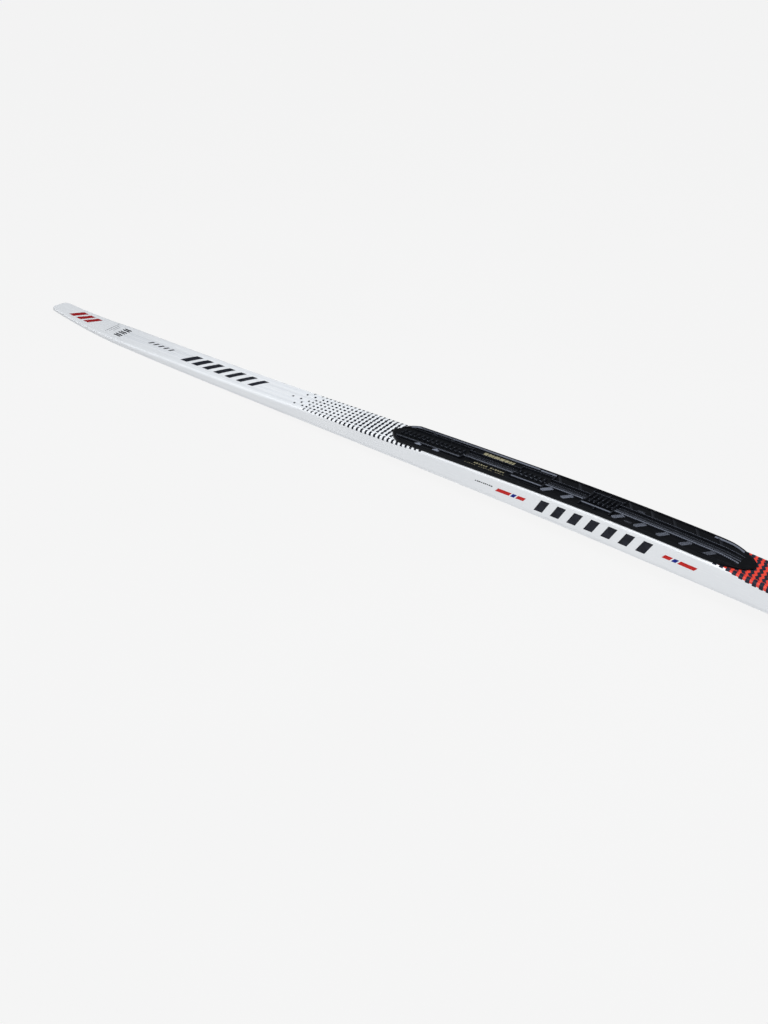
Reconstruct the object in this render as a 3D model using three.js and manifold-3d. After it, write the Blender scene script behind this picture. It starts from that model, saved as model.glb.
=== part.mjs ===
// A cross-country skate ski: a long, thin cambered laminate with an upturned tip and a moulded binding plate.
// Frame: millimetres, +X from tail to tip, +Z up, origin midway along the ski, on the ground under it.
// Lengths along the ski are given as s, the distance from the tail end.
import * as THREE from "three";
import { mergeVertices } from "three/addons/utils/BufferGeometryUtils.js";
import Module from "manifold-3d";

const wasm = await Module();
wasm.setup();

// Overall shape
const LENGTH = 1920;
const HALF_WIDTH = 22;
const WAIST = 0.4; // how much narrower each side is at the middle
const TAIL_TAPER = 140; // length over which the tail narrows towards its end
const TAIL_NARROWING = 0.42;
const TAIL_CORNER = 6; // radius of the tail end's corners
const TIP_TAPER = 170; // length over which the shovel narrows to its point
const TIP_HALF_WIDTH = 2.5;
const CAMBER = 11.2; // height of the unloaded arch
const ARCH_CENTRE = 939;
const ARCH_HALF = 791; // from the arch's centre to each contact line
const TAIL_KICK = 4.75;
const TAIL_KICK_LENGTH = 124;
const TIP_RISE = 56;
const TIP_RISE_LENGTH = 175;
const THICKNESS = [
  [0, 3.5],
  [60, 3.8],
  [120, 5.5],
  [250, 8.8],
  [400, 12.2],
  [550, 17.2],
  [700, 21.9],
  [850, 25.4],
  [1000, 24.5],
  [1200, 16.0],
  [1350, 10.5],
  [1500, 7.0],
  [1700, 5.0],
  [LENGTH, 4.4],
];

// Layers, from the ground up
const BASE = 1.0;
const LAMINATE = 0.4;
const CAP = 0.6;
const GLUE = 0.1; // gap between bonded layers
const EDGE_WIDTH = 3.0;
const EDGE_HEIGHT = 1.6;
const GROOVE_HALF = 4.0;
const GROOVE_DEPTH = 0.5;
const SHOULDER_WIDTH = 2.2;
const SHOULDER_HEIGHT = 2.6;

// Core and its fillers
const CORE_START = 100;
const CORE_END = 1730;
const FILLER_MARGIN = 3; // the fillers stop this short of the ski's ends
const END_GAP = 0.3;
const REINFORCEMENT = { from: 560, to: 1030, halfWidth: 16, thickness: 1.0, step: 1.0 };

// Binding plate
const PLATE = {
  from: 580,
  to: 993.5,
  lift: 0.6, // underside above the cap, filled by the glue pad
  halfWidth: 20.5,
  slab: 1.3,
  rimWidth: 1.7,
  rimHeight: 3.5,
  rearLength: 22,
  rearPower: 1.3,
  nose: 44,
  endHeight: 1.9, // of the rim where it sinks at both ends
  endHalf: 3.4,
};
// Rails beside the centre line. They stand wide around each rack and step inwards between the racks.
const RAIL = { width: 1.7, height: 4.0, wide: 12.8, narrow: 7.4 };
const RAIL_SPANS = [
  { from: 594, to: 677, outer: RAIL.wide },
  { from: 677, to: 739, outer: RAIL.narrow },
  { from: 739, to: 776, outer: RAIL.wide },
  { from: 776, to: 820, outer: RAIL.narrow },
  { from: 820, to: 853, outer: RAIL.wide },
  { from: 853, to: 980, outer: RAIL.narrow },
];
const SPINE = { halfWidth: 2.7, height: 3.5 }; // lies between the narrow rails
const RIB = { pitch: 23.2, lean: 0.61, width: 1.8, height: 3.0, outer: 17.6 };
const RIB_ROWS = [
  { first: 625, count: 2, inner: RAIL.wide },
  { first: 782, count: 2, inner: RAIL.narrow },
  { first: 861, count: 5, inner: RAIL.narrow },
];
const RACKS = [
  { from: 595, teeth: 14, pitch: 5.93, halfWidth: 4.6, height: 3.7 },
  { from: 742, teeth: 6, pitch: 5.7, halfWidth: 4.6, height: 3.7 },
  { from: 822, teeth: 7, pitch: 4.9, halfWidth: 8.0, height: 4.8 },
];

// Smooth curve through a short list of [s, value] points.
function through(points, s) {
  let i = 0;
  while (i < points.length - 2 && s > points[i + 1][0]) i++;
  const slopeAt = (k) => {
    const a = points[Math.max(k - 1, 0)];
    const b = points[Math.min(k + 1, points.length - 1)];
    return (b[1] - a[1]) / (b[0] - a[0]);
  };
  const [s0, v0] = points[i];
  const [s1, v1] = points[i + 1];
  const run = s1 - s0;
  const u = (s - s0) / run;
  const rise = u * u * (3 - 2 * u);
  const leave = u * (1 - u) * (1 - u) * run * slopeAt(i);
  const arrive = u * u * (1 - u) * run * slopeAt(i + 1);
  return v0 + (v1 - v0) * rise + leave - arrive;
}

// Half the ski's width, seen from above.
function halfWidth(s) {
  const body = HALF_WIDTH - WAIST * Math.cos((Math.PI * (s - ARCH_CENTRE)) / LENGTH) ** 2;
  const tail = TAIL_NARROWING * Math.max(0, 1 - s / TAIL_TAPER) ** 1.25;
  const corner = TAIL_CORNER - Math.sqrt(TAIL_CORNER ** 2 - Math.max(0, TAIL_CORNER - s) ** 2);
  const along = Math.max(0, (s - (LENGTH - TIP_TAPER)) / TIP_TAPER);
  const tip = Math.sqrt(Math.max(0, 1 - along ** 2.6));
  return Math.max(TIP_HALF_WIDTH, body * (1 - tail) * tip - corner);
}

// Height of the sole above the ground.
function soleAt(s) {
  const arch = Math.max(0, 1 - ((s - ARCH_CENTRE) / ARCH_HALF) ** 2);
  const kick = Math.max(0, 1 - s / TAIL_KICK_LENGTH);
  const rise = Math.max(0, (s - (LENGTH - TIP_RISE_LENGTH)) / TIP_RISE_LENGTH);
  return CAMBER * arch ** 2 + TAIL_KICK * kick ** 2 + TIP_RISE * rise ** 2;
}

const thicknessAt = (s) => through(THICKNESS, s);
const topAt = (s) => soleAt(s) + thicknessAt(s);
const edgeHeightAt = (s) => Math.min(EDGE_HEIGHT, 0.35 * (thicknessAt(s) - BASE - GLUE));
const skirtAt = (s) => soleAt(s) + BASE + GLUE + edgeHeightAt(s) + GLUE;
const shoulderHeightAt = (s) => Math.min(SHOULDER_HEIGHT, 0.75 * (topAt(s) - skirtAt(s)));

// Stations along the ski: close together where the outline turns, about 42 mm apart elsewhere.
function stationsFor(from, to) {
  const tail = [0, 0.6, 2, 3.8, TAIL_CORNER, 16, 30, 45, 60, 75, 88, 100, 112, TAIL_KICK_LENGTH, 148, 172];
  const body = Array.from({ length: 37 }, (_, i) => 200 + i * 42.5);
  const tip = [1745, 1758, 1785, 1810, 1833, 1854, 1872, 1887, 1899, 1908, 1914, 1918, LENGTH];
  const joints = [FILLER_MARGIN, CORE_START - END_GAP, CORE_END, CORE_END + END_GAP, LENGTH - FILLER_MARGIN];
  const { from: start, to: end, step } = REINFORCEMENT;
  const pocket = [start - step, start, start + step, end - step, end, end + step];
  const all = [...tail, ...body, ...tip, ...joints, ...pocket];
  const inside = all.filter((s) => s > from + 1e-6 && s < to - 1e-6);
  return [from, ...new Set(inside), to].sort((a, b) => a - b);
}

// A closed solid swept through a section that changes from station to station. sectionAt(s) gives the
// section's [y, z] corners, the same number at every station.
function sweep(sectionAt, stations) {
  const sections = stations.map(sectionAt);
  const pattern = sectionAt(stations[Math.floor(stations.length / 2)]);
  const shape = new THREE.Shape(pattern.map(([y, z]) => new THREE.Vector2(y, z)));
  const steps = stations.length - 1;
  const geometry = new THREE.ExtrudeGeometry(shape, { depth: steps, steps, bevelEnabled: false });
  const position = geometry.getAttribute("position");
  for (let i = 0; i < position.count; i++) {
    const station = Math.round(position.getZ(i));
    const reach = pattern.map(([y, z]) => Math.hypot(y - position.getX(i), z - position.getY(i)));
    const corner = reach.indexOf(Math.min(...reach));
    const [y, z] = sections[station][corner];
    position.setXYZ(i, stations[station] - LENGTH / 2, y, z);
  }
  return geometry;
}

// The half section for y >= 0, listed from its first to its last corner, completed by its mirror image.
function mirrored(half) {
  return [...half, ...half.map(([y, z]) => [-y, z]).reverse()];
}

function solidOf(geometry) {
  const bare = geometry.clone();
  bare.deleteAttribute("normal");
  bare.deleteAttribute("uv");
  const merged = mergeVertices(bare, 1e-3);
  const mesh = { numProp: 3, vertProperties: merged.attributes.position.array, triVerts: merged.index.array };
  return new wasm.Manifold(new wasm.Mesh({ ...mesh, triVerts: new Uint32Array(mesh.triVerts) }));
}

function geometryOf(solid) {
  const mesh = solid.getMesh();
  const geometry = new THREE.BufferGeometry();
  geometry.setAttribute("position", new THREE.BufferAttribute(mesh.vertProperties, 3));
  geometry.setIndex(new THREE.BufferAttribute(mesh.triVerts, 1));
  geometry.computeVertexNormals();
  return geometry;
}

// Printed cap: outer skin with rounded shoulders, inner skin one cap thickness inside it.
function topSheet() {
  const arc = [0, 30, 60, 90].map((degrees) => (degrees * Math.PI) / 180);
  const section = (s) => {
    const w = halfWidth(s);
    const k = w / HALF_WIDTH;
    const top = topAt(s);
    const skirt = skirtAt(s);
    const drop = shoulderHeightAt(s);
    const outer = arc.map((a) => [
      w - SHOULDER_WIDTH * k * (1 - Math.cos(a)),
      top - drop * (1 - Math.sin(a)),
    ]);
    const inner = [
      [w - (SHOULDER_WIDTH + 0.2) * k, top - CAP],
      [w - CAP * k, top - innerShoulderAt(s)],
      [w - CAP * k, skirt],
    ];
    const right = [[w, skirt], ...outer];
    const left = right.map(([y, z]) => [-y, z]).reverse();
    const innerLeft = inner.map(([y, z]) => [-y, z]);
    return [...right, ...left, ...[...innerLeft].reverse(), ...inner];
  };
  return sweep(section, stationsFor(0, LENGTH));
}

// Depth below the top at which the cap's inner wall turns into its shoulder.
const innerShoulderAt = (s) => Math.max(shoulderHeightAt(s), CAP + 0.2);

// Upper fibre laminate: an inverted channel just inside the cap.
function torsionCap() {
  const section = (s) => {
    const w = halfWidth(s);
    const k = w / HALF_WIDTH;
    const side = w - CAP * k - GLUE;
    const edge = w - (SHOULDER_WIDTH + 0.2) * k - 2 * GLUE;
    const wall = LAMINATE * k;
    const top = topAt(s) - CAP - GLUE;
    const turn = topAt(s) - innerShoulderAt(s) - 2 * GLUE;
    const outer = [
      [side, skirtAt(s)],
      [side, turn],
      [edge, top],
    ];
    const inner = [
      [side - wall, skirtAt(s)],
      [side - wall, Math.min(turn, top - LAMINATE - 0.05)],
      [edge - wall, top - LAMINATE],
    ];
    const flip = (list) => list.map(([y, z]) => [-y, z]);
    return [...outer, ...flip(outer).reverse(), ...flip(inner), ...[...inner].reverse()];
  };
  return sweep(section, stationsFor(0, LENGTH));
}

// Sliding sole with a shallow groove along its centre.
function runningBase() {
  const section = (s) => {
    const w = halfWidth(s);
    const k = w / HALF_WIDTH;
    const z = soleAt(s);
    return mirrored([
      [w, z],
      [w, z + BASE],
    ]).concat([
      [-GROOVE_HALF * k, z],
      [-(GROOVE_HALF - 1) * k, z + GROOVE_DEPTH],
      [(GROOVE_HALF - 1) * k, z + GROOVE_DEPTH],
      [GROOVE_HALF * k, z],
    ]);
  };
  return sweep(section, stationsFor(0, LENGTH));
}

// Hard strip between the sole and the cap, along one side (side is 1 or -1).
function edgeStrip(side) {
  const section = (s) => {
    const k = halfWidth(s) / HALF_WIDTH;
    const outer = side * halfWidth(s);
    const inner = side * (halfWidth(s) - EDGE_WIDTH * k);
    const low = soleAt(s) + BASE + GLUE;
    const high = low + edgeHeightAt(s);
    return [
      [outer, low],
      [outer, high],
      [inner, high],
      [inner, low],
    ];
  };
  return sweep(section, stationsFor(0, LENGTH));
}

// Lower fibre laminate, between the two edge strips.
function lowerLaminate() {
  const section = (s) => {
    const w = ((HALF_WIDTH - EDGE_WIDTH - 0.2) * halfWidth(s)) / HALF_WIDTH;
    const low = soleAt(s) + BASE + GLUE;
    return mirrored([
      [w, low],
      [w, low + LAMINATE],
    ]);
  };
  return sweep(section, stationsFor(0, LENGTH));
}

// How deep the pocket for the reinforcement is at s, with a short ramp at each end.
function pocketAt(s) {
  const { from, to, thickness, step } = REINFORCEMENT;
  const inside = Math.min(s - (from - step), to + step - s) / step;
  return (thickness + GLUE) * Math.min(1, Math.max(0, inside));
}

const coreTopAt = (s) => topAt(s) - CAP - LAMINATE - 2 * GLUE - GLUE;
const coreFloorAt = (s) => soleAt(s) + BASE + LAMINATE + 2 * GLUE;

// The space inside the laminates: narrow between the edge strips and, where the ski is thick enough for
// it, wide above them.
function innerSection(s, pocket) {
  const k = halfWidth(s) / HALF_WIDTH;
  const narrow = (HALF_WIDTH - EDGE_WIDTH - 0.2) * k;
  const wide = (HALF_WIDTH - CAP - LAMINATE - 0.3) * k;
  const low = coreFloorAt(s);
  const high = coreTopAt(s);
  const ledge = skirtAt(s) + GLUE;
  const turn = topAt(s) - innerShoulderAt(s) - 4 * GLUE;
  const thick = turn > ledge + GLUE;
  return mirrored([
    [narrow, low],
    [narrow, ledge],
    [thick ? wide : narrow, ledge],
    [thick ? wide : narrow, thick ? turn : (ledge + high) / 2],
    [narrow - 0.4 * k, high - pocket],
  ]);
}

function foamCore() {
  return sweep((s) => innerSection(s, pocketAt(s)), stationsFor(CORE_START, CORE_END));
}

function filler(from, to) {
  const section = (s) => {
    const w = ((HALF_WIDTH - EDGE_WIDTH - 0.2) * halfWidth(s)) / HALF_WIDTH;
    return mirrored([
      [w, coreFloorAt(s)],
      [w, coreTopAt(s)],
    ]);
  };
  return sweep(section, stationsFor(from, to));
}

function bindingReinforcement() {
  const { from, to, halfWidth: w, thickness, step } = REINFORCEMENT;
  const section = (s) =>
    mirrored([
      [w, coreTopAt(s) - thickness],
      [w, coreTopAt(s)],
    ]);
  return sweep(section, stationsFor(from + step, to - step));
}

// Half the binding plate's width: a blunt wedge at the rear, boat-shaped at the front.
function plateHalfAt(s) {
  const { from, to, rearLength, rearPower, nose, endHalf, halfWidth: w } = PLATE;
  const rear = Math.max(0, 1 - (s - from) / rearLength);
  const front = Math.max(0, 1 - (to - s) / nose);
  const rearHalf = w * (1 - rear ** rearPower) ** (1 / rearPower);
  const frontHalf = w * Math.sqrt(1 - front ** 2);
  return Math.max(endHalf, Math.min(rearHalf, frontHalf));
}

// Height of a wall on the plate. Walls sink towards the rear end and the nose.
function plateWallAt(s, height) {
  const { from, to, rearLength, nose, endHeight } = PLATE;
  const inward = Math.min((s - from) / (0.6 * rearLength), (to - s) / (0.75 * nose));
  const u = Math.min(1, Math.max(0, inward));
  return endHeight + (height - endHeight) * u * u * (3 - 2 * u);
}

function plateStations(from, to) {
  const rear = [0, 1, 3, 6, 10, 15, 20, 24].map((d) => PLATE.from + d);
  const body = Array.from({ length: 15 }, (_, i) => PLATE.from + 32 + i * 23.6);
  const nose = [57, 48, 38, 28, 19, 12, 6, 2.5, 0].map((d) => PLATE.to - d);
  const inside = [...rear, ...body, ...nose].filter((s) => s > from + 1 && s < to - 1);
  return [from, ...inside, to].sort((a, b) => a - b);
}

// A bar along the plate, from y = inner to y = outer, with its foot sunk in the slab.
function plateBar(inner, outer, height, from, to) {
  const section = (s) => {
    const seat = topAt(s) + PLATE.lift;
    return [
      [outer, seat + 0.5],
      [outer, seat + plateWallAt(s, height)],
      [inner, seat + plateWallAt(s, height)],
      [inner, seat + 0.5],
    ];
  };
  return solidOf(sweep(section, plateStations(from, to)));
}

// A small block standing in the slab, centred at (s, y) and turned about the vertical.
function plateBlock(s, y, long, across, height, turn) {
  const foot = 0.5;
  const box = new THREE.BoxGeometry(long, across, height - foot);
  box.rotateZ(turn);
  box.translate(s - LENGTH / 2, y, topAt(s) + PLATE.lift + (height + foot) / 2);
  return solidOf(box);
}

function bindingPlate() {
  const traySection = (s) => {
    const w = plateHalfAt(s);
    const seat = topAt(s) + PLATE.lift;
    const rim = plateWallAt(s, PLATE.rimHeight);
    return mirrored([
      [w, seat],
      [w, seat + rim],
      [w - PLATE.rimWidth, seat + rim],
      [w - PLATE.rimWidth, seat + PLATE.slab],
    ]);
  };
  let plate = solidOf(sweep(traySection, plateStations(PLATE.from, PLATE.to)));
  for (const side of [1, -1]) {
    for (const { from, to, outer } of RAIL_SPANS) {
      const [low, high] = [side * (outer - RAIL.width), side * outer].sort((a, b) => a - b);
      plate = plate.add(plateBar(low, high, RAIL.height, from, to));
      if (from > RAIL_SPANS[0].from) {
        const across = RAIL.wide - RAIL.narrow + RAIL.width;
        const middle = side * (RAIL.wide - across / 2);
        plate = plate.add(plateBlock(from, middle, RAIL.width, across, RAIL.height, 0));
      }
    }
    for (const { first, count, inner } of RIB_ROWS) {
      const reach = RIB.outer - inner + 0.8;
      const middle = side * (RIB.outer - reach / 2);
      for (let i = 0; i < count; i++) {
        const s = first + i * RIB.pitch;
        const length = reach / Math.cos(RIB.lean);
        plate = plate.add(plateBlock(s, middle, length, RIB.width, RIB.height, side * (Math.PI / 2 + RIB.lean)));
      }
    }
  }
  for (const { from, to, outer } of RAIL_SPANS.filter((span) => span.outer === RAIL.narrow)) {
    const half = SPINE.halfWidth;
    plate = plate.add(plateBar(-half, half, SPINE.height, from, to));
  }
  for (const rack of RACKS) {
    for (let i = 0; i < rack.teeth; i++) {
      const s = rack.from + i * rack.pitch;
      plate = plate.add(plateBlock(s, 0, rack.pitch * 0.45, 2 * rack.halfWidth, rack.height, 0));
    }
  }
  return geometryOf(plate);
}

// Glue pad under the plate.
function plateBond() {
  const section = (s) => {
    const w = plateHalfAt(s) - 1.5;
    return mirrored([
      [w, topAt(s) + 0.2],
      [w, topAt(s) + PLATE.lift - 0.2],
    ]);
  };
  return sweep(section, plateStations(PLATE.from + 3.5, PLATE.to - 2.5));
}

function material(color, roughness, metalness = 0) {
  return new THREE.MeshStandardMaterial({ color, roughness, metalness });
}

function node(name, geometry, look) {
  const mesh = new THREE.Mesh(geometry, look);
  mesh.name = name;
  return mesh;
}

const lacquer = material(0xdfe2e8, 0.25);
const blackPlastic = material(0x17181a, 0.45);
const sinteredBase = material(0x202124, 0.4);
const edgePlastic = material(0xc9ced6, 0.4);
const carbon = material(0x2b2c30, 0.35);
const glassFibre = material(0xb9c3a5, 0.5);
const foam = material(0xe9dfc4, 0.9);
const spacerPlastic = material(0x8b8f94, 0.6);
const glue = material(0xd8d4c4, 0.7);

const ski = new THREE.Group();
ski.add(
  node("running_base", runningBase(), sinteredBase),
  node("edge_strip_left", edgeStrip(1), edgePlastic),
  node("edge_strip_right", edgeStrip(-1), edgePlastic),
  node("lower_laminate", lowerLaminate(), glassFibre),
  node("foam_core", foamCore(), foam),
  node("tail_filler", filler(FILLER_MARGIN, CORE_START - END_GAP), spacerPlastic),
  node("tip_filler", filler(CORE_END + END_GAP, LENGTH - FILLER_MARGIN), spacerPlastic),
  node("binding_reinforcement", bindingReinforcement(), carbon),
  node("torsion_cap", torsionCap(), carbon),
  node("top_sheet", topSheet(), lacquer),
);

const binding = new THREE.Group();
binding.add(
  node("plate_bond", plateBond(), glue),
  node("binding_plate", bindingPlate(), blackPlastic),
);
ski.add(binding);

export default ski;
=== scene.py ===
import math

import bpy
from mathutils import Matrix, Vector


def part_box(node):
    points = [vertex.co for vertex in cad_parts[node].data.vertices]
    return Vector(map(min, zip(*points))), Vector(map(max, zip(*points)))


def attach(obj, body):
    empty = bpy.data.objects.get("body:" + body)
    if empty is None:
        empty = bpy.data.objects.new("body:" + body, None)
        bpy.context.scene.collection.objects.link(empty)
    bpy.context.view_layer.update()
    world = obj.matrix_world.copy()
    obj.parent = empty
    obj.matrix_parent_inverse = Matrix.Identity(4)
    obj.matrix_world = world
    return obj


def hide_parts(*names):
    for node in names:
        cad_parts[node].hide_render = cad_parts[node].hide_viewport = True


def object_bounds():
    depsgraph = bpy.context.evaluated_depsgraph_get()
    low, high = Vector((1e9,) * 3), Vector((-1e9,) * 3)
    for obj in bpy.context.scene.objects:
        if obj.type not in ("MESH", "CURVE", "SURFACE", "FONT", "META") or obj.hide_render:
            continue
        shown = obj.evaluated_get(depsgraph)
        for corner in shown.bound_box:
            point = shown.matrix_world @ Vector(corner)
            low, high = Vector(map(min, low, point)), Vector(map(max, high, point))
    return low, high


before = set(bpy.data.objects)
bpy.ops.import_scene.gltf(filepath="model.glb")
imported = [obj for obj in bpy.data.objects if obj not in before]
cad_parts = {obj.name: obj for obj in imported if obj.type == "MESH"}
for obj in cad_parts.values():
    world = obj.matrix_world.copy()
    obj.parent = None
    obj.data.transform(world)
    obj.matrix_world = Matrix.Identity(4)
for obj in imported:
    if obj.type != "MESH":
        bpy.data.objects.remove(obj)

# A cross-country skate ski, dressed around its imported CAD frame.
#
# Sizes are in millimetres unless a name says otherwise, and place() turns them into metres. Lengths along the
# ski are given as s, the distance from its tail end. v is the distance along the cap's surface from the
# centreline: across the top, round the shoulder and down the side, positive towards +Y.

cad_low, cad_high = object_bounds()
MM = 0.001

# ---------------------------------------------------------------- shape of the ski, as in the CAD
LENGTH = (cad_high.x - cad_low.x) / MM
HALF_WIDTH = 22.0
WAIST = 0.4
TAIL_TAPER, TAIL_NARROWING, TAIL_CORNER = 140.0, 0.42, 6.0
TIP_TAPER, TIP_HALF_WIDTH = 170.0, 2.5
CAMBER, ARCH_CENTRE, ARCH_HALF = 11.2, 939.0, 791.0
TAIL_KICK, TAIL_KICK_LENGTH = 4.75, 124.0
TIP_RISE, TIP_RISE_LENGTH = 56.0, 175.0
THICKNESS = (  # (s, thickness)
    (0, 3.5), (60, 3.8), (120, 5.5), (250, 8.8), (400, 12.2), (550, 17.2), (700, 21.9),
    (850, 25.4), (1000, 24.5), (1200, 16.0), (1350, 10.5), (1500, 7.0), (1700, 5.0), (LENGTH, 4.4),
)
BASE, CAP, GLUE = 1.0, 0.6, 0.1
EDGE_WIDTH, EDGE_HEIGHT = 3.0, 1.6
GROOVE_HALF, GROOVE_DEPTH = 4.0, 0.5
SHOULDER_WIDTH, SHOULDER_HEIGHT = 2.2, 2.6

# ---------------------------------------------------------------- binding plate, as in the CAD
plate_low, plate_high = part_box("binding_plate")
PLATE_FROM = (plate_low.x - cad_low.x) / MM
PLATE_TO = (plate_high.x - cad_low.x) / MM
PLATE_HALF = plate_high.y / MM
PLATE_LIFT = 0.6
SLAB, RIM_WIDTH, RIM_HEIGHT = 1.3, 1.7, 3.5
REAR_LENGTH, REAR_POWER, NOSE, END_HALF = 22.0, 1.3, 44.0, 3.4
END_HEIGHT = 0.9  # of the rim at both ends, which are thinner than the CAD's
BAR_FOOT, BLOCK_FOOT = 0.6, 0.7  # heights inside the slab at which bars and blocks start
FINE_PITCH = 2.0  # of the fine teeth and the rim's ridges
RAIL_WIDTH, RAIL_HEIGHT, RAIL_WIDE, RAIL_NARROW = 1.7, 4.0, 12.8, 7.4
RAIL_SPANS = (  # (from s, to s, distance of the outer face from the centreline)
    (594, 677, RAIL_WIDE), (677, 739, RAIL_NARROW), (739, 776, RAIL_WIDE),
    (776, 820, RAIL_NARROW), (820, 853, RAIL_WIDE), (853, 980, RAIL_NARROW),
)
SPINE_HALF, SPINE_HEIGHT = 2.7, 3.5
RIB_PITCH, RIB_LEAN, RIB_OUTER = 23.2, 0.61, 17.6
RIB_WIDTH, RIB_HEIGHT, RIB_FALL = 3.4, 3.5, 1.6  # wedges, where the CAD has plain bars
RIB_ROWS = ((625, 2, RAIL_WIDE), (782, 2, RAIL_NARROW), (861, 5, RAIL_NARROW))  # (first s, count, inner end)
# (s of the first tooth, teeth, pitch, half width, height)
RACKS = ((595, 14, 5.93, 4.6, 3.7), (742, 6, 5.7, 4.6, 3.7), (822, 7, 4.9, 8.0, 4.8))


def clamp(x, low=0.0, high=1.0):
    return min(high, max(low, x))


def ease(x, start, end):
    """0 before start, 1 after end, smooth in between."""
    u = clamp((x - start) / (end - start))
    return u * u * (3 - 2 * u)


def through(points, s):
    """Smooth curve through a short list of (s, value) points."""
    i = 0
    while i < len(points) - 2 and s > points[i + 1][0]:
        i += 1

    def slope(k):
        a, b = points[max(k - 1, 0)], points[min(k + 1, len(points) - 1)]
        return (b[1] - a[1]) / (b[0] - a[0])

    (s0, v0), (s1, v1) = points[i], points[i + 1]
    run = s1 - s0
    u = (s - s0) / run
    bend = u * (1 - u) ** 2 * run * slope(i) - u * u * (1 - u) * run * slope(i + 1)
    return v0 + (v1 - v0) * u * u * (3 - 2 * u) + bend


def half_width(s):
    body = HALF_WIDTH - WAIST * math.cos(math.pi * (s - ARCH_CENTRE) / LENGTH) ** 2
    tail = TAIL_NARROWING * max(0, 1 - s / TAIL_TAPER) ** 1.25
    corner = TAIL_CORNER - math.sqrt(TAIL_CORNER**2 - max(0, TAIL_CORNER - s) ** 2)
    along = max(0, (s - (LENGTH - TIP_TAPER)) / TIP_TAPER)
    tip = math.sqrt(max(0, 1 - along**2.6))
    return max(TIP_HALF_WIDTH, body * (1 - tail) * tip - corner)


def sole_at(s):
    arch = max(0, 1 - ((s - ARCH_CENTRE) / ARCH_HALF) ** 2)
    kick = max(0, 1 - s / TAIL_KICK_LENGTH)
    rise = max(0, (s - (LENGTH - TIP_RISE_LENGTH)) / TIP_RISE_LENGTH)
    return CAMBER * arch**2 + TAIL_KICK * kick**2 + TIP_RISE * rise**2


def thickness_at(s):
    return through(THICKNESS, s)


def top_at(s):
    return sole_at(s) + thickness_at(s)


def edge_height_at(s):
    return min(EDGE_HEIGHT, 0.35 * (thickness_at(s) - BASE - GLUE))


def skirt_at(s):
    return sole_at(s) + BASE + GLUE + edge_height_at(s) + GLUE


def shoulder_height_at(s):
    return min(SHOULDER_HEIGHT, 0.75 * (top_at(s) - skirt_at(s)))


def plate_half_at(s):
    rear = clamp(1 - (s - PLATE_FROM) / REAR_LENGTH)
    front = clamp(1 - (PLATE_TO - s) / NOSE)
    rear_half = PLATE_HALF * (1 - rear**REAR_POWER) ** (1 / REAR_POWER)
    front_half = PLATE_HALF * math.sqrt(1 - front**2)
    return max(END_HALF, min(rear_half, front_half))


def plate_wall_at(s, height):
    inward = min((s - PLATE_FROM) / (0.6 * REAR_LENGTH), (PLATE_TO - s) / (0.75 * NOSE))
    return END_HEIGHT + (height - END_HEIGHT) * ease(inward, 0, 1)


def place(s, y, z):
    """A point in the row's frame, in metres."""
    return Vector((cad_low.x + s * MM, y * MM, z * MM))


# ---------------------------------------------------------------- meshes
def finish_mesh(name, vertices, faces, materials, indices=None, sharp=38):
    """A mesh object in the scene, smooth except along edges sharper than `sharp` degrees."""
    mesh = bpy.data.meshes.new(name)
    mesh.from_pydata(vertices, [], faces)
    for look in materials:
        mesh.materials.append(look)
    if indices:
        mesh.polygons.foreach_set("material_index", indices)
    mesh.validate()
    mesh.shade_smooth()
    mesh.set_sharp_from_angle(angle=math.radians(sharp))
    piece = bpy.data.objects.new(name, mesh)
    bpy.context.scene.collection.objects.link(piece)
    return piece


class Shell:
    """Collects vertices and faces for one piece."""

    def __init__(self):
        self.vertices = []
        self.faces = []
        self.indices = []

    def add(self, points, faces, index=0):
        base = len(self.vertices)
        self.vertices += points
        self.faces += [[base + i for i in face] for face in faces]
        self.indices += [index] * len(faces)

    def loft(self, rings):
        """A closed body through equal rings of points, listed anticlockwise as seen from the far end."""
        base, count = len(self.vertices), len(rings[0])
        for ring in rings:
            self.vertices += ring
        for i in range(len(rings) - 1):
            for j in range(count):
                k = (j + 1) % count
                near, far = base + i * count, base + (i + 1) * count
                self.faces.append([near + j, near + k, far + k, far + j])
        last = base + (len(rings) - 1) * count
        self.faces.append([base + j for j in reversed(range(count))])
        self.faces.append([last + j for j in range(count)])
        self.indices += [0] * ((len(rings) - 1) * count + 2)

    def block(self, centre, along, across, up, bevel):
        """A box with bevelled upper edges. along, across and up are its half axes; its foot is square."""
        inset = [1 - bevel / v.length for v in (along, across)]
        low = [(-1, -1), (1, -1), (1, 1), (-1, 1)]
        ring = [centre + along * a + across * b - up for a, b in low]
        waist = [centre + along * a + across * b + up * (1 - bevel / up.length) for a, b in low]
        crown = [centre + along * a * inset[0] + across * b * inset[1] + up for a, b in low]
        faces = [[3, 2, 1, 0], [8, 9, 10, 11]]
        for start in (0, 4):
            for i in range(4):
                j = (i + 1) % 4
                faces.append([start + i, start + j, start + 4 + j, start + 4 + i])
        self.add(ring + waist + crown, faces)

    def piece(self, name, materials, sharp=38):
        return finish_mesh(name, self.vertices, self.faces, materials, self.indices, sharp)


def dress(piece, slot, *nodes):
    """Lets a piece ride on the ski, in place of the CAD nodes that it stands for. slot is not used."""
    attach(piece, "root")
    if nodes:
        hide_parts(*nodes)
    return piece


def stations(start, end, step, extra=()):
    """Even steps from start to end, and the extra stations that lie between them."""
    count = max(1, round((end - start) / step))
    found = {start + (end - start) * i / count for i in range(count + 1)}
    found |= {s for s in extra if start < s < end}
    return sorted(found)


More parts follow.
